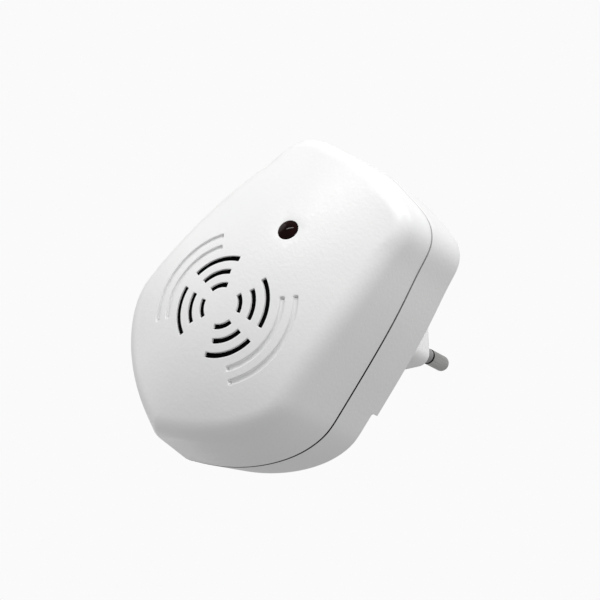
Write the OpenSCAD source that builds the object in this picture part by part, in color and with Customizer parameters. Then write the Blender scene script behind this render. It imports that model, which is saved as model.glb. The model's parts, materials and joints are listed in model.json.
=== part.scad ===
// Plug-in ultrasonic pest repeller.
// +Y points out of the wall plug along its pins, +Z is up, and the origin is the middle of the
// plug's end face. The grille looks along -Y.

/* [Housing] */
// Greatest width of the housing
body_w = 58.4; // [54:0.1:64]
// Height of the housing
body_h = 84.8; // [80:0.1:92]
// Depth from the middle of the grille to the seam
front_depth = 25; // [23:0.5:28]
// Depth from the seam to the back
rear_depth = 15.5; // [13:0.5:18]
// Wall thickness
wall = 2.2; // [1.8:0.1:2.6]
// Open width of the seam
seam = 0.5; // [0.2:0.1:0.6]
// Lean of the walls at the sides, in degrees
side_draft = 3; // [1:0.5:5]
// Lean of the walls along the bottom, in degrees
bottom_draft = 9; // [5:0.5:10]
// How far the lower part of the back steps in
back_step = 2.5; // [1:0.5:3]

/* [Face] */
// Radius of the face from side to side
face_rx = 64; // [58:1:80]
// Radius of the face from top to bottom
face_rz = 84; // [76:1:110]
// Backward lean of the face at the grille, as a slope
face_lean = 0.07; // [0:0.01:0.1]
// Width of the rounding at the sides
round_side = 3.6; // [2.5:0.1:4.5]
// Width of the rounding at the top
round_top = 2.6; // [2:0.1:4]
// Width of the rounding at the bottom
round_bottom = 4.8; // [3:0.1:5.5]

/* [Grille] */
// Width of a sound slot
slot_w = 1.3; // [0.8:0.1:1.6]
// Depth of the engraved arcs
groove_depth = 0.6; // [0.3:0.1:0.8]
// Width of the engraved arcs
groove_w = 1.2; // [0.8:0.1:1.5]
// Height of the lamp above the middle of the grille
led_up = 23.6; // [22:0.1:26]
// Diameter of the lamp hole
led_hole_d = 5.1; // [5.1:0.1:5.6]

/* [Wall plug] */
// Height of the pins above the middle of the grille
plug_up = 14.2; // [12:0.1:15]
// Height of the boss that carries the pins
boss_h = 20.5; // [18:0.5:23]
// Width of the boss's end, from point to point
boss_w = 36; // [35:0.1:39]
// Thickness of the boss's end
boss_t = 14.4; // [13:0.1:15]
// How much wider the boss is all round at its root
boss_flare = 1.2; // [0.5:0.1:2]
// Distance between the pins at the plug's face
pin_pitch_root = 18.6; // [18:0.1:19.2]
// Distance between the pins at their tips
pin_pitch_tip = 17.5; // [17:0.1:18]
// Diameter of a pin
pin_d = 4; // [3.9:0.02:4.1]
// Length of a pin beyond the plug's face
pin_len = 19; // [18.5:0.1:19.5]
// Length of a pin's insulating sleeve beyond the face
sleeve_len = 10; // [9:0.5:11]

/* [Hidden] */

// Colours
white_plastic = [0.93, 0.93, 0.93];
grey_plastic = [0.45, 0.45, 0.45];
black_plastic = [0.08, 0.08, 0.08];
nickel = [0.7, 0.7, 0.68];
brass = [0.75, 0.6, 0.3];

// Places along Y
face_y = -(boss_h + rear_depth + front_depth);
seam_y = -(boss_h + rear_depth);
back_y = -boss_h;
lower_back_y = back_y - back_step;
floor_y = lower_back_y - wall;
// Grille and lamp heights
grille_z = -plug_up;
led_z = grille_z + led_up;

// Outline at the seam: control points of a cubic B-spline, right half from the top down,
// in millimetres from the middle of the grille, for a 58.3 x 84.8 housing
OUTLINE_HALF = [
    [0, 47.5], [9, 46], [17.5, 45], [22.5, 40.5], [23, 34], [26, 22], [28, 4.5],
    [29, -6], [29.5, -11], [26.5, -19], [19, -27.5], [9.5, -34], [1, -37.5], [0, -38]
];
fit_x = body_w / 58.3;
fit_z = body_h / 84.8;
half = [for (p = OUTLINE_HALF) [p[0] * fit_x, p[1] * fit_z]];
control = concat(half, [for (i = [len(half) - 2 : -1 : 1]) [-half[i][0], half[i][1]]]);
spans = len(control);
steps = 3;

function b0(t) = pow(1 - t, 3) / 6;
function b1(t) = (3 * pow(t, 3) - 6 * t * t + 4) / 6;
function b2(t) = (-3 * pow(t, 3) + 3 * t * t + 3 * t + 1) / 6;
function b3(t) = pow(t, 3) / 6;
function near(i) = control[(i + spans) % spans];
function on_outline(i, t) =
    near(i - 1) * b0(t) + near(i) * b1(t) + near(i + 1) * b2(t) + near(i + 2) * b3(t);
outline = [for (i = [0 : spans - 1], k = [0 : steps - 1]) on_outline(i, k / steps)];
count = len(outline);

// Outward normal of the outline at point i, and the way from there to the middle
function unit(v) = v / norm(v);
function normal(i) =
    let (d = unit(outline[(i + 1) % count] - outline[(i + count - 1) % count])) [-d[1], d[0]];
function reach(i) = outline[i] * normal(i);
// Point i of the outline moved in by s, towards the middle of the grille
function inset(i, s) = outline[i] * (1 - s / reach(i));

// A value that changes with the direction the wall faces
function by_side(i, side, top, bottom) =
    let (n = normal(i)) side * n[0] * n[0] + (n[1] > 0 ? top : bottom) * n[1] * n[1];
function lean(i) = tan(by_side(i, side_draft, side_draft, bottom_draft));

// How far the face lies behind the middle of the grille, at a point [x, z] from there
face_cubic = -0.00004;
function face_drop(p) =
    p[0] * p[0] / (2 * face_rx) + p[1] * p[1] / (2 * face_rz) + face_lean * p[1]
    + face_cubic * pow(p[1], 3);

// Rounded profile from the seam to the face at point i, as [inset, depth before the grille].
// skin is the distance of the surface below the outer one.
wall_run = 18;
bend = 0.6;
function round_end(i, skin) =
    skin + by_side(i, round_side, round_top, round_bottom) + wall_run * lean(i);
function drop_at(i, s, skin) = face_drop(inset(i, s)) + skin;
function bezier(a, b, c, d, t) =
    a * pow(1 - t, 3) + 3 * b * t * pow(1 - t, 2) + 3 * c * t * t * (1 - t) + d * pow(t, 3);
function profile(i, skin, t) =
    let (
        s = round_end(i, skin),
        y = drop_at(i, s, skin),
        slope = (drop_at(i, s - 0.1, skin) - y) / 0.1,
        k = lean(i),
        // where the leaning wall would meet the face's tangent
        corner_y = (y + slope * (s - skin) - slope * k * front_depth) / (1 - slope * k),
        corner = [skin + (front_depth - corner_y) * k, corner_y],
        wall_top = corner_y + (s - corner[0]),
        start = [skin + (front_depth - wall_top) * k, wall_top],
        finish = [s, y]
    )
    bezier(start, start + (corner - start) * bend, finish + (corner - finish) * bend, finish, t);

// One ring of the front shell's surface: points [x, y, z] from the list of [inset, depth]
function place(p, depth) = [p[0], face_y + depth, p[1] + grille_z];
function round_ring(skin, t, stride = 1) =
    [for (i = [0 : stride : count - 1]) let (q = profile(i, skin, t)) place(inset(i, q[0]), q[1])];
function seam_ring(skin, stride = 1) =
    [for (i = [0 : stride : count - 1]) place(inset(i, skin), front_depth - seam / 2)];
function dome_ring(skin, r, stride = 1) =
    [for (i = [0 : stride : count - 1])
        let (p = inset(i, round_end(i, skin)) * (1 - r)) place(p, face_drop(p) + skin)];
function middle(skin) = place([0, 0], skin);

function band(a, b, n) =
    [for (i = [0 : n - 1]) each [
        [b * n + (i + 1) % n, b * n + i, a * n + i],
        [a * n + (i + 1) % n, b * n + (i + 1) % n, a * n + i]
    ]];
function fan(a, tip, n) = [for (i = [0 : n - 1]) [a * n + (i + 1) % n, tip, a * n + i]];
function turned(faces) = [for (f = faces) [f[2], f[1], f[0]]];
function joined(rings) = [for (r = rings) each r];

// Front skin: outer rings, then inner rings, closed by one point each and by the rim
module front_skin() {
    outer = concat([seam_ring(0)], [for (t = [0 : 0.2 : 1]) round_ring(0, t)],
        [for (r = [0.2 : 0.2 : 0.8]) dome_ring(0, r)]);
    inner = concat([seam_ring(wall)], [for (t = [0 : 0.333 : 1]) round_ring(wall, t)],
        [for (r = [0.25 : 0.25 : 0.75]) dome_ring(wall, r)]);
    n_out = len(outer);
    n_in = len(inner);
    points = concat(joined(outer), joined(inner), [middle(0), middle(wall)]);
    tip = (n_out + n_in) * count;
    faces = concat(
        joined([for (k = [0 : n_out - 2]) band(k, k + 1, count)]),
        fan(n_out - 1, tip, count),
        turned(joined([for (k = [0 : n_in - 2]) band(n_out + k, n_out + k + 1, count)])),
        turned(fan(n_out + n_in - 1, tip + 1, count)),
        turned(band(0, n_out, count))
    );
    polyhedron(points = points, faces = faces);
}

// Rings for the back half: inset by skin and by what the wall leans over run, at height y
function level_ring(skin, run, y) =
    [for (i = [0 : count - 1]) let (p = inset(i, skin + run * lean(i))) [p[0], y, p[1] + grille_z]];
function back_ring(skin, y) = level_ring(skin, y - seam_y, y);
module rings_solid(rings) {
    last = len(rings) - 1;
    faces = concat(
        joined([for (k = [0 : last - 1]) turned(band(k, k + 1, count))]),
        [[for (i = [0 : count - 1]) i]],
        [[for (i = [count - 1 : -1 : 0]) last * count + i]]
    );
    polyhedron(points = joined(rings), faces = faces);
}

// Round pieces that lie along Y, from y0 to y1
module along_y(x, y, z) {
    translate([x, y, z]) rotate([-90, 0, 0]) children();
}
module rod(x, z, y0, y1, d) {
    along_y(x, y0, z) cylinder(h = y1 - y0, d = d, $fn = 48);
}
module tube(x, z, y0, y1, d_out, d_in) {
    difference() {
        rod(x, z, y0, y1, d_out);
        rod(x, z, y0 - 1, y1 + 1, d_in);
    }
}
module pan_screw(x, z, under_head, way, d, length, head, head_t) {
    // way is 1 where the screw points along +Y, -1 along -Y
    end = under_head + way * length;
    top = under_head - way * head_t;
    difference() {
        union() {
            rod(x, z, min(under_head, end), max(under_head, end), d);
            rod(x, z, min(under_head, top), max(under_head, top), head);
        }
        for (turn = [0, 90]) {
            translate([x, top, z]) rotate([0, turn, 0])
                cube([head * 0.6, head_t, head * 0.14], center = true);
        }
    }
}

// Sound slots and engraved arcs, as flat sectors of a ring: [radius, from, to] in one quarter
RINGS = [[5.25, 15, 66], [8.7, 11, 62], [12.15, 9, 68]];
GROOVES = [15.7, 18.9];
groove_half = 43;
module sector(r, w, from, to) {
    far = 2 * (r + w);
    intersection() {
        difference() {
            circle(r = r + w / 2, $fn = 96);
            circle(r = r - w / 2, $fn = 96);
        }
        polygon([[0, 0], far * [cos(from), sin(from)],
            far * [cos((from + to) / 2), sin((from + to) / 2)], far * [cos(to), sin(to)]]);
    }
}
module slots_cut() {
    for (ring = RINGS, mx = [0, 1], mz = [0, 1]) {
        along_y(0, face_y - 1, grille_z) mirror([mx, 0, 0]) mirror([0, mz, 0])
            linear_extrude(8) sector(ring[0], slot_w, ring[1], ring[2]);
    }
}
// An engraved arc's floor is flat: it lies this share of the face's drop at its side, plus its depth
floor_share = 0.93;
module grooves_cut() {
    for (r = GROOVES, mx = [0, 1]) {
        translate([0, face_y + face_drop([r, 0]) * floor_share + groove_depth, grille_z])
            rotate([90 - atan(face_lean), 0, 0]) mirror([mx, 0, 0])
                linear_extrude(6) sector(r, groove_w, -groove_half, groove_half);
    }
}

// Screw towers of the housing and posts of the board: [x, z] from the middle of the grille
TOWERS = [[16.5, 36.5], [17.5, -17]];
tower_d = 6.4;
thread_len = 6.5;
screw_d = 2.6;
head_d = 5;
head_t = 1.8;
sink_d = 5.6;
sink_y = seam_y + 7;
BOARD_POSTS = [[19, 16.2], [19, -7.8]];
post_d = 5.2;
module mirrored(places) {
    for (p = places, side = [-1, 1]) {
        translate([side * p[0], 0, grille_z + p[1]]) children();
    }
}

// The grille is thin: the pocket behind it follows the face as a ball does, and the cloth lines it
ball_r = 73;
grille_t = 0.65;
cloth_gap = 0.05;
mesh_t = 0.4;
module ball(r, depth) {
    translate([0, face_y + depth, grille_z]) rotate([-atan(face_lean), 0, 0])
        translate([0, r, 0]) sphere(r = r, $fn = 120);
}

// Depths of the sounder's stack behind the grille
ledge_y = face_y + 4.7;
gasket_t = 1.6;
case_y = ledge_y + gasket_t;
case_len = 8.4;
clamp_y = case_y + case_len;
clamp_t = 1.4;
case_d = 29.8;
seat_d = 30.2;
seat_wall = 1.7;
ledge_d = 27.6;
cloth_d = 27.2;
ear_x = 20;
ear_d = 5.4;
small_screw_d = 1.9;

// Lamp: a 5 mm lamp with a low dome, set square to the face and a little proud of it
led_y = face_y + face_drop([0, led_up]);
led_slope = (face_drop([0, led_up + 0.1]) - face_drop([0, led_up - 0.1])) / 0.2;
led_d = 5;
led_dome_r = 6;
led_proud = 0.45;
led_end = led_y + 8.3;
led_flange_d = 5.9;
led_flange_t = 1;
led_leg_x = 1.27;

// Board
board_t = 1.6;
board_back = -33;
board_front = board_back - board_t;

// ---- Housing ----
module front_posts() {
    mirrored(TOWERS) rod(0, 0, face_y + 3, seam_y - seam / 2, tower_d);
    difference() {
        rod(0, grille_z, face_y + 1, clamp_y - 2, seat_d + 2 * seat_wall);
        rod(0, grille_z, ledge_y, clamp_y, seat_d);
        rod(0, grille_z, face_y, ledge_y + 1, ledge_d);
    }
    for (side = [-1, 1]) rod(side * ear_x, grille_z, face_y + 3, clamp_y, ear_d);
    rod(0, led_z, face_y + 3, led_end - 2.2, led_hole_d + 3);
}
module front_shell() {
    color(white_plastic) difference() {
        union() {
            front_skin();
            intersection() {
                front_posts();
                front_fill();
            }
        }
        intersection() {
            rod(0, grille_z, face_y - 1, ledge_y + 1, ledge_d);
            ball(ball_r, grille_t);
        }
        slots_cut();
        grooves_cut();
        rod(0, led_z, face_y - 1, clamp_y, led_hole_d);
        mirrored(TOWERS) rod(0, 0, seam_y - thread_len - 1, seam_y, screw_d);
        for (side = [-1, 1]) rod(side * ear_x, grille_z, clamp_y - 5, clamp_y + 1, small_screw_d);
    }
}
// The space inside the front skin, up to half its thickness, drawn coarsely
module front_fill() {
    half_skin = wall / 2;
    n = count / steps;
    rings = concat([seam_ring(half_skin, steps)],
        [for (t = [0 : 0.5 : 1]) round_ring(half_skin, t, steps)],
        [for (r = [0.3 : 0.3 : 0.6]) dome_ring(half_skin, r, steps)]);
    last = len(rings) - 1;
    faces = concat(
        joined([for (k = [0 : last - 1]) band(k, k + 1, n)]),
        fan(last, (last + 1) * n, n),
        [[for (i = [n - 1 : -1 : 0]) i]]
    );
    polyhedron(points = concat(joined(rings), [middle(half_skin)]), faces = faces);
}

// The back shell's outside with the lip that enters the front shell, and its hollow
lip_h = 2.4;
lip_t = 1.1;
lip_gap = 0.15;
step_z = grille_z - 1.5;
edge = 0.5;
module back_block() {
    rings_solid([
        level_ring(wall + lip_gap, lip_h, seam_y - lip_h),
        level_ring(wall + lip_gap, 0, seam_y + seam / 2 - 0.01),
        level_ring(0, 0, seam_y + seam / 2),
        back_ring(0, back_y - edge),
        back_ring(edge * 0.3, back_y - edge * 0.3),
        back_ring(edge, back_y)
    ]);
}
module back_hollow() {
    lip_in = wall + lip_gap + lip_t;
    rings_solid([
        level_ring(lip_in, lip_h, seam_y - lip_h - 1),
        level_ring(lip_in, lip_h, seam_y + 2),
        back_ring(wall, seam_y + 3.4),
        back_ring(wall, floor_y)
    ]);
}
// Boss round the pins: a long hexagon that tapers. grow is how far it is drawn inwards.
boss_round = 3;
boss_edge = 0.8;
slice = 0.01;
module boss_slice(grow) {
    w = boss_w / 2 + grow * sqrt(2);
    t = boss_t / 2 + grow;
    linear_extrude(slice) offset(r = boss_round, $fn = 32) offset(delta = -boss_round)
        polygon([[w, 0], [w - t, t], [t - w, t], [-w, 0], [t - w, -t], [w - t, -t]]);
}
module boss_solid(grow, y0, y1) {
    hull() {
        along_y(0, y0, 0) boss_slice(boss_flare * y0 / back_y + grow);
        along_y(0, y1 - boss_edge, 0) boss_slice(boss_flare * y1 / back_y + grow);
        along_y(0, y1 - slice, 0) boss_slice(boss_flare * y1 / back_y + grow - boss_edge);
    }
}
end_wall = 3;
sleeve_d = 3.8;
// A shallow recess round each pin keeps the end face clear of the sleeve's tilt
pin_recess_d = 4.8;
pin_recess = 0.4;
module rear_shell() {
    color(white_plastic) difference() {
        union() {
            difference() {
                back_block();
                back_hollow();
                translate([-18, floor_y - 1, step_z + 3]) cube([36, back_y - wall - floor_y + 1, 37]);
            }
            mirrored(TOWERS) rod(0, 0, seam_y + seam / 2, back_y - 1.5, tower_d + 1.6);
            mirrored(BOARD_POSTS) rod(0, 0, board_back, back_y - 1.2, post_d);
            boss_solid(0, back_y - 1, 0);
        }
        boss_solid(-wall, back_y - wall - 0.5, -end_wall);
        translate([-40, lower_back_y, step_z - 60]) cube([80, 10, 60]);
        mirrored(TOWERS) {
            rod(0, 0, seam_y - 1, back_y + 1, screw_d + 0.3);
            rod(0, 0, sink_y, back_y + 1, sink_d);
        }
        mirrored(BOARD_POSTS) rod(0, 0, board_back - 1, board_back + 7, 2.2);
        for_pins() {
            rod(0, 0, -end_wall - 1, 1, sleeve_d);
            rod(0, 0, -pin_recess, 1, pin_recess_d);
        }
    }
}
module housing_screws() {
    color(nickel) mirrored(TOWERS)
        pan_screw(0, 0, sink_y, -1, screw_d, sink_y - seam_y + thread_len, head_d, head_t);
}

// ---- Wall plug ----
pin_angle = atan((pin_pitch_root - pin_pitch_tip) / 2 / pin_len);
module at_pin(side) {
    translate([side * pin_pitch_root / 2, 0, 0]) rotate([0, 0, side * pin_angle]) children();
}
module for_pins() {
    for (side = [-1, 1]) at_pin(side) children();
}
shank_d = 2.9;
collar_d = 5.4;
collar_t = 2;
// The tilted collar stops just short of the wall it bears on
collar_y = -end_wall - collar_d / 2 * sin(pin_angle);
tail_len = 12;
tip_round = 1.4;
shoulder = 0.4;
module pin_body() {
    r = pin_d / 2;
    rounded = [for (a = [0 : 15 : 90])
        [r - tip_round + tip_round * cos(a), pin_len - tip_round + tip_round * sin(a)]];
    along_y(0, 0, 0) rotate_extrude($fn = 64) polygon(concat(
        [[0, -tail_len], [shank_d / 2 - 0.3, -tail_len], [shank_d / 2, -tail_len + 0.5],
            [shank_d / 2, collar_y - collar_t], [collar_d / 2, collar_y - collar_t],
            [collar_d / 2, collar_y], [shank_d / 2, collar_y], [shank_d / 2, sleeve_len],
            [r - shoulder, sleeve_len], [r, sleeve_len + shoulder]],
        rounded, [[0, pin_len]]
    ));
}
module pin_sleeve() {
    tube(0, 0, -end_wall, sleeve_len - 0.2, sleeve_d, shank_d);
}
module pin_clip() {
    back = collar_y - collar_t;
    tube(0, 0, back - 0.8, back, 6, shank_d);
    difference() {
        translate([-1.2, -tail_len - 1.5, 1.9]) cube([2.4, tail_len + 1.5 + back, 0.7]);
        translate([0, -tail_len - 0.2, 1]) cylinder(h = 3, d = 1, $fn = 24);
    }
}
module left_pin() {
    color(nickel) at_pin(-1) pin_body();
}
module right_pin() {
    color(nickel) at_pin(1) pin_body();
}
module left_pin_sleeve() {
    color(grey_plastic) at_pin(-1) pin_sleeve();
}
module right_pin_sleeve() {
    color(grey_plastic) at_pin(1) pin_sleeve();
}
module left_pin_clip() {
    color(brass) at_pin(-1) pin_clip();
}
module right_pin_clip() {
    color(brass) at_pin(1) pin_clip();
}

// A wire of diameter d on the cubic curve of four points, as one swept skin
wire_sides = 8;
wire_rings = 12;
module wire(p, d) {
    at = [for (k = [0 : wire_rings]) bezier(p[0], p[1], p[2], p[3], k / wire_rings)];
    way = [for (k = [0 : wire_rings])
        unit(at[min(k + 1, wire_rings)] - at[max(k - 1, 0)])];
    rings = [for (k = [0 : wire_rings])
        let (u = unit(cross(way[k], [1, 0, 0])), v = cross(way[k], u))
        [for (j = [0 : wire_sides - 1])
            let (a = 360 * j / wire_sides) at[k] + d / 2 * (u * cos(a) + v * sin(a))]];
    faces = concat(
        joined([for (k = [0 : wire_rings - 1]) turned(band(k, k + 1, wire_sides))]),
        [[for (j = [0 : wire_sides - 1]) j]],
        [[for (j = [wire_sides - 1 : -1 : 0]) wire_rings * wire_sides + j]]
    );
    polyhedron(points = joined(rings), faces = faces);
}
mains_wire_d = 1.7;
module mains_wire(side) {
    wire([[side * 9.6, -14, 1.2], [side * 9.8, -20, -2.5], [side * 11, -27, 2],
        [side * 11, board_back, 2]], mains_wire_d);
}
module live_wire() {
    color("firebrick") mains_wire(1);
}
module neutral_wire() {
    color("royalblue") mains_wire(-1);
}
sounder_wire_d = 1.1;
module sounder_wires() {
    color(black_plastic) for (side = [-1, 1]) {
        wire([[side * 2.2, piezo_back, grille_z + 1], [side * 2.2, piezo_back + 8, grille_z + 1],
            [side * 2.6, board_front - 8, grille_z - 2], [side * 2.6, board_front, grille_z - 2]],
            sounder_wire_d);
    }
}

// ---- Sounder and lamp ----
module dust_mesh() {
    color(black_plastic) intersection() {
        rod(0, grille_z, face_y - 1, ledge_y, cloth_d);
        difference() {
            ball(ball_r, grille_t + cloth_gap);
            ball(ball_r - mesh_t, grille_t + cloth_gap + mesh_t);
        }
    }
}
module transducer_gasket() {
    color("dimgray") tube(0, grille_z, ledge_y, case_y, case_d, 25);
}
case_in_r = 13.2;
cone_top = case_y + 5.4;
plate_t = 0.3;
piezo_back = cone_top + plate_t + 0.25;
module transducer_case() {
    r = case_d / 2;
    color(black_plastic) difference() {
        along_y(0, case_y, grille_z) rotate_extrude($fn = 72) polygon([
            [case_in_r, 0], [r, 0], [r, case_len], [5, case_len], [5, case_len - 1.2],
            [case_in_r, case_len - 1.2]
        ]);
        for (a = [0 : 60 : 300]) {
            rod(9.5 * cos(a), grille_z + 9.5 * sin(a), clamp_y - 3, clamp_y + 1, 2.4);
        }
    }
}
module transducer_cone() {
    color("gainsboro") along_y(0, case_y, grille_z) rotate_extrude($fn = 72) polygon([
        [case_in_r, 0.5], [case_in_r, 1], [3.2, 5.2], [0, 5.4], [0, 5], [3, 4.8], [12.6, 0.5]
    ]);
}
module piezo_disc() {
    color(brass) rod(0, grille_z, cone_top, cone_top + plate_t, 15);
    color(brass) rod(0, grille_z, cone_top + plate_t, piezo_back, 11);
}
module transducer_clamp() {
    color(black_plastic) along_y(0, clamp_y, grille_z) linear_extrude(clamp_t) difference() {
        union() {
            circle(r = 16.6, $fn = 72);
            square([2 * ear_x, ear_d], center = true);
            for (side = [-1, 1]) translate([side * ear_x, 0]) circle(d = ear_d, $fn = 36);
        }
        circle(r = 12.2, $fn = 72);
        for (side = [-1, 1]) translate([side * ear_x, 0]) circle(d = small_screw_d, $fn = 24);
    }
}
module clamp_screws() {
    color(nickel) for (side = [-1, 1]) {
        pan_screw(side * ear_x, grille_z, clamp_y + clamp_t, -1, small_screw_d, 5.6, 3.8, 1.3);
    }
}
module led_lens() {
    color([0.12, 0.02, 0.02]) {
        intersection() {
            rod(0, led_z, led_y - led_d, led_end - led_flange_t, led_d);
            translate([0, led_y, led_z]) rotate([-atan(led_slope), 0, 0])
                translate([0, led_dome_r - led_proud, 0]) sphere(r = led_dome_r, $fn = 96);
        }
        rod(0, led_z, led_end - led_flange_t, led_end, led_flange_d);
    }
}
module led_legs() {
    color(nickel) for (x = [-led_leg_x, led_leg_x]) {
        rod(x, led_z, led_end, board_back + 1, 0.5);
    }
}
module led_spacer() {
    color(black_plastic) tube(0, led_z, led_end, board_front, led_flange_d, 4.2);
}

// ---- Board and what is on it ----
BOARD_HALF = [
    [12, 41], [12, 32], [19.5, 32], [22, 18], [23, 0], [23, -12], [13.2, -12], [13.2, -22],
    [8, -26]
];
module circuit_board() {
    edge_points = concat(BOARD_HALF,
        [for (i = [len(BOARD_HALF) - 1 : -1 : 0]) [-BOARD_HALF[i][0], BOARD_HALF[i][1]]]);
    color([0.62, 0.5, 0.28]) difference() {
        translate([0, board_back, grille_z]) rotate([90, 0, 0]) linear_extrude(board_t)
            polygon(edge_points);
        mirrored(BOARD_POSTS) rod(0, 0, board_front - 1, board_back + 1, 2.2);
        for (x = [-led_leg_x, led_leg_x]) rod(x, led_z, board_front - 1, board_back + 1, 0.8);
    }
}
module board_screws() {
    color(nickel) mirrored(BOARD_POSTS) pan_screw(0, 0, board_front, 1, 2.2, 7, 4, 1.5);
}
// Stand a piece on the board at [x, z] from the grille: its Z then points to the front
module on_board(x, z) {
    translate([x, board_front, grille_z + z]) rotate([90, 0, 0]) children();
}
module box_can(size, r) {
    // a block whose upright edges are round
    linear_extrude(size[2]) {
        square([size[0] - 2 * r, size[1]], center = true);
        square([size[0], size[1] - 2 * r], center = true);
        for (mx = [-1, 1], my = [-1, 1]) {
            translate([mx * (size[0] / 2 - r), my * (size[1] / 2 - r)]) circle(r = r, $fn = 24);
        }
    }
}
// A body that lies on the board along Z, with its bent legs
module axial(d, length, leg_d, leg_span) {
    up = d / 2 + 0.4;
    translate([0, 0, up]) rotate([90, 0, 0]) {
        translate([0, 0, -length / 2]) cylinder(h = length, d = d, $fn = 32);
        translate([0, 0, -leg_span / 2]) cylinder(h = leg_span, d = leg_d, $fn = 16);
    }
    for (side = [-1, 1]) translate([0, side * (leg_span / 2 - leg_d / 2), 0]) {
        cylinder(h = up, d = leg_d, $fn = 16);
    }
}
module dropper_capacitor() {
    color([0.6, 0.2, 0.12]) on_board(8.5, 26.5) box_can([7, 18, 13], 1);
}
module coupling_capacitor() {
    color([0.7, 0.62, 0.2]) on_board(-8.5, 30.6) box_can([7.2, 2.6, 7], 0.5);
}
module smoothing_capacitor() {
    color([0.1, 0.12, 0.3]) on_board(-8.5, 23) rotate_extrude($fn = 64) polygon([
        [0, 0], [3.8, 0], [4, 0.3], [4, 1.4], [3.7, 1.8], [4, 2.2], [4, 11.6], [3.6, 12], [0, 12]
    ]);
}
module coil_core() {
    color([0.2, 0.2, 0.21]) on_board(-6.4, 36.5) rotate_extrude($fn = 64) polygon([
        [0, 0], [4, 0], [4, 1.2], [2, 1.2], [2, 8.3], [4, 8.3], [4, 9.5], [0, 9.5]
    ]);
}
module coil_winding() {
    color([0.72, 0.38, 0.2]) on_board(-6.4, 36.5) translate([0, 0, 1.3]) difference() {
        cylinder(h = 6.9, r = 3.5, $fn = 48);
        translate([0, 0, -1]) cylinder(h = 9, r = 2, $fn = 48);
    }
}
module fusible_resistor() {
    color([0.75, 0.75, 0.72]) on_board(17.5, 4.2) axial(4, 10, 0.8, 13);
}
module discharge_resistor() {
    color([0.3, 0.5, 0.65]) on_board(13, 4.2) axial(2.4, 6.4, 0.6, 10);
}
module signal_resistors() {
    color([0.8, 0.7, 0.5]) for (x = [-6, -3, 0, 3, 6]) {
        on_board(x, 7) axial(2.2, 6.2, 0.6, 9);
    }
}
module rectifier_diodes() {
    color(black_plastic) for (x = [-18.8, -14.9], z = [8.2, -0.8]) {
        on_board(x, z) axial(2.7, 5.2, 0.8, 8.4);
    }
}
module zener_diode() {
    color([0.7, 0.3, 0.15]) on_board(-10.5, 3) axial(1.9, 4, 0.5, 8);
}
module drive_transistors() {
    color(black_plastic) for (z = [-4.4, -12]) on_board(-6.8, z) {
        translate([0, 0, 2]) linear_extrude(4.8) difference() {
            circle(r = 2.4, $fn = 48);
            translate([-3, -4.3]) square([6, 3]);
        }
        for (x = [-1.27, 0, 1.27]) translate([x, 0, 0]) cylinder(h = 2.5, d = 0.45, $fn = 16);
    }
}
chip_x = 2.5;
chip_z = -9.5;
module oscillator_chip() {
    color(black_plastic) on_board(chip_x, chip_z) difference() {
        translate([-3.2, -4.8, 0.8]) cube([6.4, 9.6, 3.3]);
        translate([0, 4.8, 3]) cylinder(h = 2, r = 0.9, $fn = 32);
    }
}
module chip_legs() {
    color(nickel) for (side = [-1, 1], k = [-1.5 : 1 : 1.5]) {
        on_board(chip_x + side * 3.81, chip_z + k * 2.54) {
            translate([-0.15, -0.6, 0.9]) cube([0.3, 1.2, 1.6]);
            translate([-0.15, -0.25, 0]) cube([0.3, 0.5, 1]);
            translate([side < 0 ? 0 : -0.6, -0.6, 2.2]) cube([0.6, 1.2, 0.3]);
        }
    }
}
module ceramic_capacitors() {
    color([0.72, 0.45, 0.2]) for (p = [[10, -5.5], [10, -11.5], [-2.5, -17.5]]) {
        on_board(p[0], p[1]) {
            translate([0, 1, 3.6]) rotate([90, 0, 0]) cylinder(h = 2, r = 2.6, $fn = 48);
            for (x = [-1.27, 1.27]) translate([x, 0, 0]) cylinder(h = 2.5, d = 0.5, $fn = 16);
        }
    }
}

front_shell();
rear_shell();
dust_mesh();
led_lens();
led_legs();
led_spacer();
left_pin();
right_pin();
left_pin_sleeve();
right_pin_sleeve();
left_pin_clip();
right_pin_clip();
live_wire();
neutral_wire();
transducer_case();
transducer_cone();
piezo_disc();
transducer_gasket();
transducer_clamp();
clamp_screws();
sounder_wires();
circuit_board();
board_screws();
housing_screws();
dropper_capacitor();
smoothing_capacitor();
coupling_capacitor();
ceramic_capacitors();
fusible_resistor();
discharge_resistor();
signal_resistors();
rectifier_diodes();
zener_diode();
drive_transistors();
oscillator_chip();
chip_legs();
coil_core();
coil_winding();
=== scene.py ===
import json
import math

import bmesh
import bpy
import numpy as np
from mathutils import Matrix, Vector


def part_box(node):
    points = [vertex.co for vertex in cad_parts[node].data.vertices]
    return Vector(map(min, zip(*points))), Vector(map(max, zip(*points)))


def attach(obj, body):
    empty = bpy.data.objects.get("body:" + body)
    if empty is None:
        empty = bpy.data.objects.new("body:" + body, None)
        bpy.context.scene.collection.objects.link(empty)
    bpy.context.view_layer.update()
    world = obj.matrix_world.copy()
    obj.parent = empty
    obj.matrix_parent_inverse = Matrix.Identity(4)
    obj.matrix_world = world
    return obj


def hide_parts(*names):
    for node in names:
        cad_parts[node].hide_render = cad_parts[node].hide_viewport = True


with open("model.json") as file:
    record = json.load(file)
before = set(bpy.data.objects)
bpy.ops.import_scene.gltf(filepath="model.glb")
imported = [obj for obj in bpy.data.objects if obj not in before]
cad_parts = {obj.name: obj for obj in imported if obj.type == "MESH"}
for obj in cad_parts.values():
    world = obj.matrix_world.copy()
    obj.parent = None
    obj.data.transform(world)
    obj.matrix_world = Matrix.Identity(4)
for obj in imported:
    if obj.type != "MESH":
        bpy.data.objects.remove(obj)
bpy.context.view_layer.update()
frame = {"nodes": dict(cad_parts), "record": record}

MM = 0.001
ROOT = "root"

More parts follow.
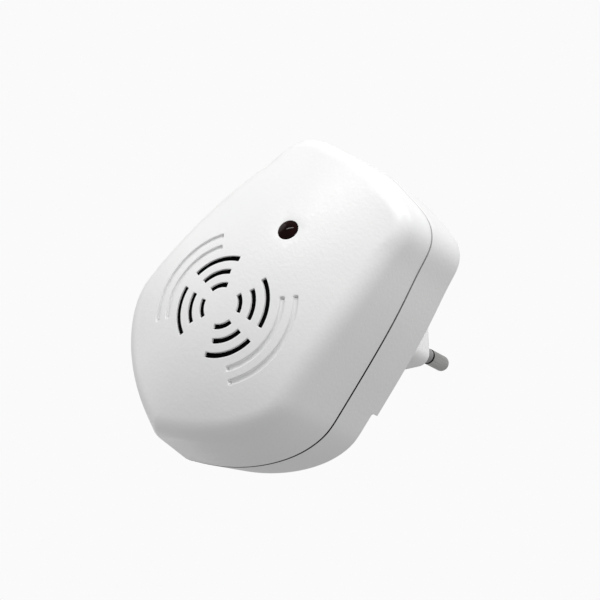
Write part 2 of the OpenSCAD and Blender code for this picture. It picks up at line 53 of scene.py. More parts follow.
# ---- Driving dimensions, in millimetres. The frame's origin is the middle of the plug's end face. ----
BODY_W = 58.4
BODY_H = 84.8
FRONT_DEPTH = 25.0
REAR_DEPTH = 15.5
BOSS_H = 20.5
WALL = 2.2
SEAM = 0.5
SEAM_EDGE = 0.1
PLUG_UP = 14.2
LAMP_UP = 23.6
LAMP_HOLE_R = 2.55
LAMP_RIM = 0.06

FACE_Y = -(BOSS_H + REAR_DEPTH + FRONT_DEPTH)
SEAM_Y = FACE_Y + FRONT_DEPTH
BACK_Y = SEAM_Y + REAR_DEPTH
BACK_STEP = 2.5
LOWER_BACK_Y = BACK_Y - BACK_STEP
FLOOR_Y = LOWER_BACK_Y - WALL
GRILLE_Z = -PLUG_UP
STEP_Z = GRILLE_Z - 1.5

# The face: radii side to side and top to bottom, its lean at the grille and a slight S
FACE_RX = 64.0
FACE_RZ = 84.0
FACE_LEAN = 0.07
FACE_CUBIC = -0.00004
ROUND_SIDE = 3.6
ROUND_TOP = 2.6
ROUND_BOTTOM = 4.8
DRAFT_DEGREES = (3.0, 3.0, 9.0)
BEND = 0.6
WALL_RUN = 18.0

# Outline at the seam, right half from the top down: control points of a cubic B-spline
OUTLINE_HALF = [
    (0, 47.5), (9, 46), (17.5, 45), (22.5, 40.5), (23, 34), (26, 22), (28, 4.5),
    (29, -6), (29.5, -11), (26.5, -19), (19, -27.5), (9.5, -34), (1, -37.5), (0, -38),
]
DRAWN_W = 58.3
DRAWN_H = 84.8
LINES = 360
OUTLINE_STEPS = 40

# Grille: [radius, from, to] of a sound slot in one quarter, and the engraved arcs beside them
SLOT_W = 1.3
SLOT_ROUND = 0.2
SLOT_RIM = 0.1
SLOTS = [(5.25, 15, 66), (8.7, 11, 62), (12.15, 9, 68)]
GROOVE_W = 1.2
GROOVE_DEPTH = 0.6
GROOVE_ROUND = 0.4
GROOVE_RIM = 0.2
GROOVE_FOOT = 0.2
GROOVES = [15.7, 18.9]
GROOVE_HALF = 43

# The pocket that thins the wall behind the grille is part of a ball
POCKET_R = 13.8
BALL_R = 73.0
GRILLE_T = 0.65
CLOTH_GAP = 0.05
CLOTH_T = 0.4

# Posts: places are [x, height above the grille's middle] on one side; each has a radius and a bore
TOWERS = [(16.5, 36.5), (17.5, -17)]
TOWER_R = 3.2
TOWER_BORE_R = 1.3
REAR_TOWER_R = 4.0
SCREW_BORE_R = 1.45
SINK_Y = SEAM_Y + 7
SINK_R = 2.8
BOARD_POSTS = [(19, 16.2), (19, -7.8)]
BOARD_POST_R = 2.6
EAR_X = 20.0
EAR_R = 2.7
EAR_BORE_R = 0.95
SEAT_R = 16.8
SEAT_BORE_R = 15.1
SEAT_SHORT = 2.0
LEDGE_R = 15.4
LAMP_TUBE_R = 4.05
LAMP_TUBE_SHORT = 2.2
# Posts start inside the wall they stand on, at this part of its thickness
POST_ROOT = 0.6

BOSS_W = 36.0
BOSS_T = 14.4
BOSS_FLARE = 1.2
BOSS_ROUND = 3.0
BOSS_EDGE = 0.8
END_WALL = 3.0
BOSS_FILLET = 0.7

# Turns of a quarter round, in coarse steps
QUARTER = np.radians([0, 30, 60, 90])


# ---- Outline ----
def spline_loop(control, steps):
    """Points and unit tangents of a closed uniform cubic B-spline."""
    points, tangents = [], []
    n = len(control)
    for i in range(n):
        p = [np.array(control[(i + k) % n], float) for k in (-1, 0, 1, 2)]
        for s in range(steps):
            t = s / steps
            w = [(1 - t) ** 3 / 6, (3 * t ** 3 - 6 * t * t + 4) / 6,
                 (-3 * t ** 3 + 3 * t * t + 3 * t + 1) / 6, t ** 3 / 6]
            d = [-(1 - t) ** 2 / 2, (9 * t * t - 12 * t) / 6, (-9 * t * t + 6 * t + 3) / 6, t * t / 2]
            points.append(sum(a * b for a, b in zip(w, p)))
            tangents.append(sum(a * b for a, b in zip(d, p)))
    return np.array(points), np.array(tangents)


def outline_by_angle(angles):
    """Radius of the outline and its outward normal along each angle, seen from the grille's middle."""
    right = [(x * BODY_W / DRAWN_W, z * BODY_H / DRAWN_H) for x, z in OUTLINE_HALF]
    left = [(-x, z) for x, z in right[-2:0:-1]]
    points, tangents = spline_loop(right + left, OUTLINE_STEPS)
    tangents /= np.linalg.norm(tangents, axis=1)[:, None]
    normals = np.column_stack([-tangents[:, 1], tangents[:, 0]])
    at = np.arctan2(points[:, 1], points[:, 0])
    order = np.argsort(at)
    at = at[order]

    def along(values):
        return np.interp(angles, at, values[order], period=2 * math.pi)

    return along(np.linalg.norm(points, axis=1)), along(normals[:, 0]), along(normals[:, 1])


ANGLES = np.radians(np.arange(LINES) * 360 / LINES)
ANGLES = (ANGLES + math.pi) % (2 * math.pi) - math.pi
RADIUS, NORMAL_X, NORMAL_Z = outline_by_angle(ANGLES)
WAY = np.column_stack([np.cos(ANGLES), np.sin(ANGLES)])
REACH = RADIUS * (WAY[:, 0] * NORMAL_X + WAY[:, 1] * NORMAL_Z)


def by_side(side, top, bottom):
    upper = np.where(NORMAL_Z > 0, top, bottom)
    return side * NORMAL_X ** 2 + upper * NORMAL_Z ** 2


DRAFT = np.tan(np.radians(by_side(*DRAFT_DEGREES)))


def face_drop(x, z):
    """How far the face lies behind the middle of the grille."""
    return x * x / (2 * FACE_RX) + z * z / (2 * FACE_RZ) + FACE_LEAN * z + FACE_CUBIC * z ** 3


def ball_drop(x, z, radius, depth):
    """How far a ball's front lies behind the middle of the grille, if it is depth behind it there."""
    lean = math.atan(FACE_LEAN)
    level = np.sqrt(radius ** 2 - x * x - (z + radius * math.sin(lean)) ** 2)
    return depth + radius * math.cos(lean) - level


def wall_behind(x, z):
    """Thickness of the front wall at a point of the face: thin at the pocket behind the grille."""
    thin = ball_drop(x, z, BALL_R, GRILLE_T) - face_drop(x, z)
    return np.where(np.hypot(x, z) < POCKET_R, thin, WALL)


def inset_radius(s):
    """Radius of the outline moved in by s along its normal, on each line."""
    return RADIUS * (1 - s / REACH)


def ring(radius, depth):
    """Points on every line at a radius from the grille's middle and a depth behind it."""
    y = FACE_Y + depth + 0 * radius
    return np.column_stack([WAY[:, 0] * radius, y, WAY[:, 1] * radius + GRILLE_Z])


def on_face(radius, inside):
    """A ring on the face's outer or inner surface."""
    x, z = WAY[:, 0] * radius, WAY[:, 1] * radius
    return ring(radius, face_drop(x, z) + (wall_behind(x, z) if inside else 0))


# ---- Mesh making ----
# Edges that turn more than this many degrees stay sharp
SHARP = 35
# Points nearer than this, in metres, are one point
SAME_PLACE = 1e-7


class Skin:
    """Points and faces of one mesh, in millimetres."""

    def __init__(self):
        self.points = []
        self.faces = []

    def add(self, points):
        first = len(self.points)
        self.points.extend(np.asarray(points, float).reshape(-1, 3))
        return list(range(first, len(self.points)))

    def band(self, a, b):
        n = len(a)
        for i in range(n):
            k = (i + 1) % n
            self.faces.append((a[i], a[k], b[k], b[i]))

    def rings(self, loops, caps=True):
        """Closed skin over a row of equal loops."""
        ids = [self.add(loop) for loop in loops]
        for a, b in zip(ids, ids[1:]):
            self.band(a, b)
        if caps:
            self.faces.append(tuple(ids[0]))
            self.faces.append(tuple(ids[-1]))
        return ids

    def mesh(self, name):
        data = bpy.data.meshes.new(name)
        data.from_pydata([tuple(c * MM for c in p) for p in self.points], [], self.faces)
        work = bmesh.new()
        work.from_mesh(data)
        bmesh.ops.remove_doubles(work, verts=work.verts, dist=SAME_PLACE)
        bmesh.ops.recalc_face_normals(work, faces=work.faces)
        work.to_mesh(data)
        work.free()
        return data

    def piece(self, name, sharp=SHARP):
        obj = bpy.data.objects.new(name, self.mesh(name))
        bpy.context.collection.objects.link(obj)
        smooth(obj, sharp)
        return obj


def smooth(obj, sharp):
    for face in obj.data.polygons:
        face.use_smooth = True
    obj.data.set_sharp_from_angle(angle=math.radians(sharp))


# ---- Front shell ----
# The face's slope at its edge is measured over this much
SLOPE_STEP = 0.1


def wall_and_face(skin):
    """Where the wall ends, where the face begins, and the corner their tangents make."""
    start = skin + by_side(ROUND_SIDE, ROUND_TOP, ROUND_BOTTOM) + WALL_RUN * DRAFT

    def drop(s):
        r = inset_radius(s)
        return face_drop(WAY[:, 0] * r, WAY[:, 1] * r) + skin

    y = drop(start)
    slope = (drop(start - SLOPE_STEP) - y) / SLOPE_STEP
    corner_y = (y + slope * (start - skin) - slope * DRAFT * FRONT_DEPTH) / (1 - slope * DRAFT)
    corner = skin + (FRONT_DEPTH - corner_y) * DRAFT
    top_y = corner_y + (start - corner)
    top = skin + (FRONT_DEPTH - top_y) * DRAFT
    return (top, top_y), (corner, corner_y), (start, y)


def rounded_rings(skin, count):
    """Rings over the rounding between the wall and the face, without the last one."""
    (s0, y0), (sc, yc), (s1, y1) = wall_and_face(skin)
    rings = []
    for t in np.linspace(0, 1, count + 1)[:-1]:
        w = [(1 - t) ** 3, 3 * t * (1 - t) ** 2, 3 * t * t * (1 - t), t ** 3]
        s = w[0] * s0 + w[1] * (s0 + (sc - s0) * BEND) + w[2] * (s1 + (sc - s1) * BEND) + w[3] * s1
        y = w[0] * y0 + w[1] * (y0 + (yc - y0) * BEND) + w[2] * (y1 + (yc - y1) * BEND) + w[3] * y1
        rings.append(ring(inset_radius(s), y))
    return rings


def wall_rings(skin, edge, count):
    """Rings from the seam's rounded edge up the wall."""
    low = FRONT_DEPTH - SEAM / 2
    (_, top_y), _, _ = wall_and_face(skin)
    rings = []
    for a in QUARTER if edge else QUARTER[-1:]:
        y = low - edge * (1 - math.cos(a))
        s = skin + edge * (1 - math.sin(a)) + (FRONT_DEPTH - y) * DRAFT
        rings.append(ring(inset_radius(s), y + 0 * DRAFT))
    for f in np.linspace(0, 1, count + 1)[1:-1]:
        y = (low - edge) * (1 - f) + top_y * f
        rings.append(ring(inset_radius(skin + (FRONT_DEPTH - y) * DRAFT), y))
    return rings


# Rows of cells up the wall and over the rounding, outside and inside
WALL_ROWS = 7
CORNER_ROWS = 14
INNER_WALL_ROWS = 3
INNER_CORNER_ROWS = 6
# Rows of cells from the face's edge to the outermost arc, and across each arc
FACE_ROWS = 30
CELLS_ACROSS = 6
ARC_MARGIN = 0.35
POCKET_STEP = 0.01
CENTRE_RADII = [2.8, 1.5]
ARCS = [(r, GROOVE_W) for r in GROOVES[::-1]] + [(slot[0], SLOT_W) for slot in SLOTS[::-1]]
# The block of cells that the lamp's hole is cut in: rows up from the outermost arc, and lines
LAMP_ROWS = 11
LAMP_LINES = (80, 100)


def arc_radii():
    """Radii of the rings inside the face's rows, and the first one's place for each arc."""
    radii, first = [], []
    for r, width in ARCS:
        half = width / 2 + ARC_MARGIN
        if radii and radii[-1] > POCKET_R > r + half:
            radii += [POCKET_R + POCKET_STEP, POCKET_R - POCKET_STEP]
        first.append(FACE_ROWS + len(radii))
        radii += list(np.linspace(r + half, r - half, CELLS_ACROSS + 1))
    return radii + CENTRE_RADII, first


ARC_RADII, ARC_FIRST = arc_radii()


def face_rings(inside):
    """Rings from the edge of the face to its middle."""
    _, _, (start, _) = wall_and_face(WALL if inside else 0.0)
    edge = inset_radius(start)
    parts = np.linspace(0, 1, FACE_ROWS + 1)[:-1]
    rings = [on_face(edge + (ARC_RADII[0] - edge) * f, inside) for f in parts]
    return rings + [on_face(np.full(LINES, r), inside) for r in ARC_RADII]


class Opening:
    """A block of the face's cells, and the contour that is cut in it.

    rows and lines bound the block; rim is the rounding of an opening that goes through the wall.
    """

    def __init__(self, rows, lines, place, through, rim=0.0):
        self.rows = rows
        self.lines = lines
        self.place = place
        self.through = through
        self.rim = rim

    def covers(self, row, line):
        across = (line - self.lines[0]) % LINES < self.lines[1] - self.lines[0]
        return across and self.rows[0] <= row < self.rows[1]

    def loop(self, ids):
        """Points round the block, in order."""
        (k0, k1), (j0, j1) = self.rows, self.lines
        around = [(k0, j) for j in range(j0, j1)] + [(k, j1) for k in range(k0, k1)]
        around += [(k1, j) for j in range(j1, j0, -1)] + [(k, j0) for k in range(k1, k0, -1)]
        return [ids[k][j % LINES] for k, j in around]


def arc_place(r, width, start, stop, rounding):
    """Contour of an arc-shaped opening, as a map of (points around it, distance outside it)."""
    half = width / 2 - rounding
    a0 = math.radians(start) + rounding / r
    a1 = math.radians(stop) - rounding / r
    middle = (a0 + a1) / 2

    def place(xz, distance):
        radius = np.linalg.norm(xz, axis=1)
        angle = np.arctan2(xz[:, 1], xz[:, 0])
        angle = (angle - middle + math.pi) % (2 * math.pi) - math.pi + middle
        core = np.column_stack([np.clip(radius, r - half, r + half), np.clip(angle, a0, a1)])
        away = np.column_stack([radius - core[:, 0], (angle - core[:, 1]) * r])
        away /= np.linalg.norm(away, axis=1)[:, None]
        reach = rounding + distance
        out_r = core[:, 0] + away[:, 0] * reach
        out_a = core[:, 1] + away[:, 1] * reach / r
        return np.column_stack([out_r * np.cos(out_a), out_r * np.sin(out_a)])

    return place


def round_place(centre, radius):
    """Contour of a round opening."""
    def place(xz, distance):
        away = xz - centre
        away /= np.linalg.norm(away, axis=1)[:, None]
        return centre + away * (radius + distance)

    return place


def face_openings():
    """Every sound slot and engraved arc, and the lamp's hole."""
    found = []
    for k, (r, width) in enumerate(ARCS):
        rows = (ARC_FIRST[k], ARC_FIRST[k] + CELLS_ACROSS)
        spare = math.ceil(ARC_MARGIN / (r * math.radians(360 / LINES)))
        engraved = r in GROOVES
        if engraved:
            spans = [(-GROOVE_HALF, GROOVE_HALF), (180 - GROOVE_HALF, 180 + GROOVE_HALF)]
        else:
            low, high = next(s[1:] for s in SLOTS if s[0] == r)
            spans = [(low, high), (180 - high, 180 - low), (180 + low, 180 + high), (-high, -low)]
        for start, stop in spans:
            place = arc_place(r, width, start, stop, GROOVE_ROUND if engraved else SLOT_ROUND)
            found.append(Opening(rows, (start - spare, stop + spare), place, not engraved, SLOT_RIM))
    lamp_rows = (FACE_ROWS - LAMP_ROWS, FACE_ROWS)
    lamp = round_place(np.array([0, LAMP_UP]), LAMP_HOLE_R)
    found.append(Opening(lamp_rows, LAMP_LINES, lamp, True, LAMP_RIM))
    return found


def rim_profile(edge):
    """Rounded rim of an opening, as (distance outside its contour, depth)."""
    return [(edge * (1 - math.sin(a)), edge * (1 - math.cos(a))) for a in QUARTER]


def groove_profile():
    """The same for an engraved arc: rounded rim, rounded foot and flat floor."""
    low = GROOVE_DEPTH - GROOVE_FOOT
    foot = [(-GROOVE_FOOT * (1 - math.cos(a)), low + GROOVE_FOOT * math.sin(a)) for a in QUARTER]
    return rim_profile(GROOVE_RIM) + foot + [(-GROOVE_W / 2, GROOVE_DEPTH)]


def lay(xz, depth):
    """Points at a depth below the face, or as deep as a function of x and z says."""
    x, z = xz[:, 0], xz[:, 1]
    low = depth(x, z) if callable(depth) else depth
    return np.column_stack([x, FACE_Y + face_drop(x, z) + low, z + GRILLE_Z])


def front_skin():
    """The front shell: outer and inner surface, joined at the seam and through every opening."""
    skin = Skin()
    openings = face_openings()
    ends = {}
    surfaces = []
    for outer in (True, False):
        if outer:
            border = wall_rings(0, SEAM_EDGE, WALL_ROWS) + rounded_rings(0, CORNER_ROWS)
        else:
            border = wall_rings(WALL, 0, INNER_WALL_ROWS) + rounded_rings(WALL, INNER_CORNER_ROWS)
        rings = border + face_rings(not outer)
        ids = [skin.add(r) for r in rings]
        tip = skin.add([(0, FACE_Y + (0 if outer else GRILLE_T), GRILLE_Z)])[0]
        face = ids[len(border):]
        for k in range(len(border)):
            skin.band(ids[k], ids[k + 1])
        cuts = [o for o in openings if outer or o.through]
        for k in range(len(face) - 1):
            for j in range(LINES):
                if not any(o.covers(k, j) for o in cuts):
                    n = (j + 1) % LINES
                    skin.faces.append((face[k][j], face[k][n], face[k + 1][n], face[k + 1][j]))
        for j in range(LINES):
            skin.faces.append((face[-1][j], face[-1][(j + 1) % LINES], tip))
        for o in cuts:
            loop = o.loop(face)
            if outer:
                here = np.array([skin.points[i] for i in loop])[:, [0, 2]] - (0, GRILLE_Z)
                profile = rim_profile(o.rim) + [(0, wall_behind)] if o.through else groove_profile()
                for distance, low in profile:
                    inner = skin.add(lay(o.place(here, distance), low))
                    skin.band(loop, inner)
                    loop = inner
                ends[o] = loop
            else:
                skin.band(loop, ends[o])
        surfaces.append(ids[0])
    skin.band(*surfaces)
    return skin


def circle(x, z, r, y, sides=48):
    turn = np.linspace(0, 2 * math.pi, sides, endpoint=False)
    return np.column_stack([x + r * np.cos(turn), np.zeros(sides) + y, z + r * np.sin(turn)])


def tube(skin, x, z, y0, y1, r_out, r_in, sides=48):
    """A tube along Y. y0 may be 'face': it then starts inside the front wall."""
    loops = []
    for r, low in ((r_out, True), (r_out, False), (r_in, False), (r_in, True)):
        loop = circle(x, z, r, y1, sides)
        if low:
            face = FACE_Y + face_drop(loop[:, 0], loop[:, 2] - GRILLE_Z)
            loop[:, 1] = face + WALL * POST_ROOT if y0 == "face" else y0
        loops.append(loop)
    ids = [skin.add(loop) for loop in loops]
    for a, b in zip(ids, ids[1:] + ids[:1]):
        skin.band(a, b)


def both_sides(places):
    """x and z in the frame of places given for one side, at left and right."""
    return [(side * x, z + GRILLE_Z) for x, z in places for side in (-1, 1)]


# Where the pieces that the front posts carry begin and end
LEDGE_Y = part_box("transducer_gasket")[0].y / MM
CLAMP_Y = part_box("transducer_clamp")[0].y / MM
LAMP_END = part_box("led_lens")[1].y / MM


def front_posts():
    """The front shell's inner posts: screw towers, the sounder's seat and ears, and the lamp's tube."""
    skin = Skin()
    for x, z in both_sides(TOWERS):
        tube(skin, x, z, "face", SEAM_Y - SEAM / 2, TOWER_R, TOWER_BORE_R)
    tube(skin, 0, GRILLE_Z, "face", CLAMP_Y - SEAT_SHORT, SEAT_R, SEAT_BORE_R, 96)
    tube(skin, 0, GRILLE_Z, "face", LEDGE_Y, LEDGE_R, POCKET_R, 96)
    for x, z in both_sides([(EAR_X, 0)]):
        tube(skin, x, z, "face", CLAMP_Y, EAR_R, EAR_BORE_R)
    lamp_z = GRILLE_Z + LAMP_UP
    tube(skin, 0, lamp_z, "face", LAMP_END - LAMP_TUBE_SHORT, LAMP_TUBE_R, LAMP_HOLE_R)
    return skin


# ---- Rear shell ----
def level(skin_in, y):
    """Rear ring inset by skin_in and by the draft, which runs from the seam both ways."""
    return ring(inset_radius(skin_in + abs(y - SEAM_Y) * DRAFT), y - FACE_Y + 0 * DRAFT)


LIP_H = 2.4
LIP_T = 1.1
LIP_GAP = 0.15
LIP_FOOT_Y = SEAM_Y + 2
LIP_RAMP_Y = SEAM_Y + 3.4
REAR_EDGE = 0.45
# The upper back is deeper than the lower one, and hollow to half this width between these heights
RISE_HALF = 18
RISE_LOW = STEP_Z + 3
RISE_HIGH = STEP_Z + 40
# A cut reaches this far past what it cuts away
PAST = 1.0
# How far below the back's surface the rear posts end
TOWER_ROOT = 1.5
BOARD_POST_ROOT = 1.2


def rear_block():
    """The rear shell's outside, with the lip that goes into the front shell."""
    skin = Skin()
    start = SEAM_Y + SEAM / 2
    end = BACK_Y - REAR_EDGE
    loops = [level(WALL + LIP_GAP, SEAM_Y - LIP_H), level(WALL + LIP_GAP, start)]
    loops += [level(inset, start + rise) for inset, rise in rim_profile(SEAM_EDGE)]
    loops += [level(0, start + (end - start) * f) for f in (0.2, 0.4, 0.6, 0.8)]
    for a in np.radians(np.linspace(0, 90, 7)):
        loops.append(level(REAR_EDGE * (1 - math.cos(a)), BACK_Y - REAR_EDGE * (1 - math.sin(a))))
    skin.rings(loops)
    return skin


def rear_hollow():
    skin = Skin()
    lip = WALL + LIP_GAP + LIP_T
    skin.rings([
        level(lip, SEAM_Y - LIP_H - PAST), level(lip, LIP_FOOT_Y),
        level(WALL, LIP_RAMP_Y), level(WALL, FLOOR_Y),
    ])
    return skin


def cuboid(low, high):
    skin = Skin()
    (x0, y0, z0), (x1, y1, z1) = low, high
    skin.rings([[(x0, y, z0), (x1, y, z0), (x1, y, z1), (x0, y, z1)] for y in (y0, y1)])
    return skin


def rod(x, z, y0, y1, r, sides=64):
    skin = Skin()
    skin.rings([circle(x, z, r, y, sides) for y in (y0, y1)])
    return skin


def hexagon(grow, y):
    """Outline of the boss at y, grow larger all round: a long hexagon with rounded corners."""
    w = BOSS_W / 2 + (grow - BOSS_ROUND) * math.sqrt(2)
    t = BOSS_T / 2 + grow - BOSS_ROUND
    corners = [((w, 0), -45, 45), ((w - t, t), 45, 90), ((t - w, t), 90, 135),
               ((-w, 0), 135, 225), ((t - w, -t), 225, 270), ((w - t, -t), 270, 315)]
    points = []
    for (x, z), start, stop in corners:
        for a in np.radians(np.linspace(start, stop, 9)):
            points.append((x + BOSS_ROUND * math.cos(a), y, z + BOSS_ROUND * math.sin(a)))
    return np.array(points)


def boss(grow, root, end, flare):
    """The tapered boss round the pins, grow larger, from y root to y end, with a fillet of flare."""
    def widen(y):
        return BOSS_FLARE * y / BACK_Y + grow

    skin = Skin()
    edge = BOSS_EDGE
    loops = [hexagon(widen(root) + flare, root)]
    if flare:
        for a in np.radians([0, 22.5, 45, 67.5, 90]):
            grown = widen(BACK_Y) + flare * (1 - math.sin(a))
            loops.append(hexagon(grown, BACK_Y + flare * (1 - math.cos(a))))
    loops += [hexagon(widen(y), y) for y in np.linspace(BACK_Y + flare, end - edge, 6)[1:]]
    last = widen(end - edge)
    for a in np.radians([18, 36, 54, 72, 90]):
        loops.append(hexagon(last - edge * (1 - math.cos(a)), end - edge * (1 - math.sin(a))))
    skin.rings(loops)
    return skin


def combine(base, tool, operation):
    """Adds tool to base or cuts it away, exactly."""
    other = tool.piece("tool")
    change = base.modifiers.new(operation, "BOOLEAN")
    change.operation = operation
    change.solver = "EXACT"
    change.object = other
    graph = bpy.context.evaluated_depsgraph_get()
    made = bpy.data.meshes.new_from_object(base.evaluated_get(graph))
    base.modifiers.clear()
    old = base.data
    base.data = made
    bpy.data.meshes.remove(old)
    bpy.data.objects.remove(other)


def rear_piece():
    """The rear shell: hollowed and stepped, then given its posts, its boss and the screw holes."""
    shell = rear_block().piece("rear_cover")
    combine(shell, rear_hollow(), "DIFFERENCE")
    rise = cuboid((-RISE_HALF, FLOOR_Y - PAST, RISE_LOW), (RISE_HALF, BACK_Y - WALL, RISE_HIGH))
    combine(shell, rise, "DIFFERENCE")
    below = cuboid((-BODY_W, LOWER_BACK_Y, STEP_Z - BODY_H), (BODY_W, BACK_Y + PAST, STEP_Z))
    combine(shell, below, "DIFFERENCE")
    soften_rim(shell)
    for x, z in both_sides(TOWERS):
        combine(shell, rod(x, z, SEAM_Y + SEAM / 2, BACK_Y - TOWER_ROOT, REAR_TOWER_R), "UNION")
    board_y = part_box("circuit_board")[1].y / MM
    for x, z in both_sides(BOARD_POSTS):
        combine(shell, rod(x, z, board_y, BACK_Y - BOARD_POST_ROOT, BOARD_POST_R), "UNION")
    combine(shell, boss(0, BACK_Y - PAST, 0, BOSS_FILLET), "UNION")
    combine(shell, boss(-WALL, BACK_Y - WALL - PAST / 2, -END_WALL, 0), "DIFFERENCE")
    for x, z in both_sides(TOWERS):
        combine(shell, rod(x, z, SEAM_Y - PAST, BACK_Y + PAST, SCREW_BORE_R), "DIFFERENCE")
        combine(shell, rod(x, z, SINK_Y, BACK_Y + PAST, SINK_R), "DIFFERENCE")
    smooth(shell, SHARP)
    return shell


# What counts as the rim of the lower back: how near its plane in metres, how far below the step in
# millimetres, and how sharp a turn in degrees
RIM_NEAR = 1e-6
RIM_BELOW = 0.2
RIM_TURN = 50


def soften_rim(shell):
    """Rounds the edge of the stepped-in lower back."""
    work = bmesh.new()
    work.from_mesh(shell.data)
    rim = []
    for edge in work.edges:
        flat = all(abs(v.co.y - LOWER_BACK_Y * MM) < RIM_NEAR for v in edge.verts)
        below = all(v.co.z < (STEP_Z - RIM_BELOW) * MM for v in edge.verts)
        turned = len(edge.link_faces) == 2 and edge.calc_face_angle(0) > math.radians(RIM_TURN)
        if flat and below and turned:
            rim.append(edge)
    bmesh.ops.bevel(
        work, geom=rim, offset=REAR_EDGE * MM, segments=4, profile=0.5, affect="EDGES",
        clamp_overlap=False,
    )
    work.to_mesh(shell.data)
    work.free()


# ---- Cloth behind the slots ----
THREAD_PITCH = 0.5
THREAD_WAVE = 0.07
THREAD_HALF = 0.08
CLOTH_RINGS = 72
CLOTH_SPOKES = 216
CLOTH_SHARP = 60


def cloth_piece():
    """A shallow dish of plain weave behind the grille: threads go over and under each other."""
    low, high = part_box("dust_mesh")
    radius = (high.x - low.x) / 2 / MM
    depth = GRILLE_T + CLOTH_GAP + CLOTH_T / 2
    skin = Skin()

    def weave(x, z):
        return THREAD_WAVE * np.cos(math.pi * x / THREAD_PITCH) * np.cos(math.pi * z / THREAD_PITCH)

    def layer(x, z, side):
        middle = FACE_Y + ball_drop(x, z, BALL_R - CLOTH_T / 2, depth)
        return np.column_stack([x, middle + side * THREAD_HALF + weave(x, z), z + GRILLE_Z])

    turn = np.linspace(0, 2 * math.pi, CLOTH_SPOKES, endpoint=False)
    for side in (-1, 1):
        radii = [radius * k / CLOTH_RINGS for k in range(CLOTH_RINGS, 0, -1)]
        ids = [skin.add(layer(r * np.cos(turn), r * np.sin(turn), side)) for r in radii]
        tip = skin.add(layer(np.zeros(1), np.zeros(1), side))[0]
        for a, b in zip(ids, ids[1:]):
            skin.band(a, b)
        for j in range(CLOTH_SPOKES):
            skin.faces.append((ids[-1][j], ids[-1][(j + 1) % CLOTH_SPOKES], tip))
        if side == -1:
            rim = ids[0]
        else:
            skin.band(rim, ids[0])
    return skin.piece("cloth_disc", CLOTH_SHARP)


# ---- Materials ----
# The seam's shade: how far from its middle it stays dark and where it ends, in millimetres, how much
# light is left in it low down and at the top, and the heights between which that changes
SEAM_DARK = 0.28
SEAM_CLEAR = 0.34
SEAM_LOW = 0.01
SEAM_HIGH = 0.75
SEAM_FADE = (-5.0, 32.0)
# The same for the step where a pin's sleeve ends
PIN_STEP_Y = 10.2
PIN_STEP_DARK = 0.22
PIN_STEP_CLEAR = 0.32
PIN_STEP_LEFT = 0.04
# Places of a mix node's colour sockets, which share their names with its other sockets
MIX_FACTOR = 0
MIX_A = 6
MIX_B = 7
MIX_RESULT = 2


class Surface:
    """A material under construction: one principled shader and the nodes that feed it."""

    def __init__(self, name, color, roughness, metallic=0.0):
        self.material = bpy.data.materials.new(name)
        self.material.use_nodes = True
        self.nodes = self.material.node_tree.nodes
        self.links = self.material.node_tree.links
        self.shader = self.nodes["Principled BSDF"]
        self.shader.inputs["Base Color"].default_value = (*color, 1)
        self.shader.inputs["Roughness"].default_value = roughness
        self.shader.inputs["Metallic"].default_value = metallic
        self.coords = self.nodes.new("ShaderNodeTexCoord").outputs["Object"]
        self.height = None

    def stretched(self, scale):
        if isinstance(scale, (int, float)):
            return self.coords, scale
        mapping = self.nodes.new("ShaderNodeMapping")
        mapping.inputs["Scale"].default_value = scale
        self.links.new(self.coords, mapping.inputs["Vector"])
        return mapping.outputs["Vector"], 1.0

    def noise(self, scale, detail=2.0):
        vector, size = self.stretched(scale)
        node = self.nodes.new("ShaderNodeTexNoise")
        node.inputs["Scale"].default_value = size
        node.inputs["Detail"].default_value = detail
        self.links.new(vector, node.inputs["Vector"])
        return node.outputs["Fac"]

    def cells(self, scale):
        node = self.nodes.new("ShaderNodeTexVoronoi")
        node.inputs["Scale"].default_value = scale
        self.links.new(self.coords, node.inputs["Vector"])
        return node.outputs["Distance"]

    def ranged(self, value, low, high, start=0.3, stop=0.7):
        node = self.nodes.new("ShaderNodeMapRange")
        node.inputs["From Min"].default_value = start
        node.inputs["From Max"].default_value = stop
        node.inputs["To Min"].default_value = low
        node.inputs["To Max"].default_value = high
        self.links.new(value, node.inputs["Value"])
        return node.outputs["Result"]

    def tint(self, value, dark, light, start=0.3, stop=0.7):
        ramp = self.nodes.new("ShaderNodeValToRGB")
        ramp.color_ramp.elements[0].position = start
        ramp.color_ramp.elements[1].position = stop
        ramp.color_ramp.elements[0].color = (*dark, 1)
        ramp.color_ramp.elements[1].color = (*light, 1)
        self.links.new(value, ramp.inputs["Fac"])
        self.links.new(ramp.outputs["Color"], self.shader.inputs["Base Color"])

    def roughness(self, value, low, high):
        self.links.new(self.ranged(value, low, high), self.shader.inputs["Roughness"])

    def bump(self, value, distance, strength=1.0):
        """Height from value, distance in millimetres; later bumps go on top of earlier ones."""
        node = self.nodes.new("ShaderNodeBump")
        node.inputs["Strength"].default_value = strength
        node.inputs["Distance"].default_value = distance * MM
        self.links.new(value, node.inputs["Height"])
        if self.height:
            self.links.new(self.height, node.inputs["Normal"])
        self.height = node.outputs["Normal"]
        self.links.new(self.height, self.shader.inputs["Normal"])

    def set(self, **values):
        for name, value in values.items():
            self.shader.inputs[name.replace("_", " ")].default_value = value


def shade(color, factor):
    return tuple(min(1.0, c * factor) for c in color)


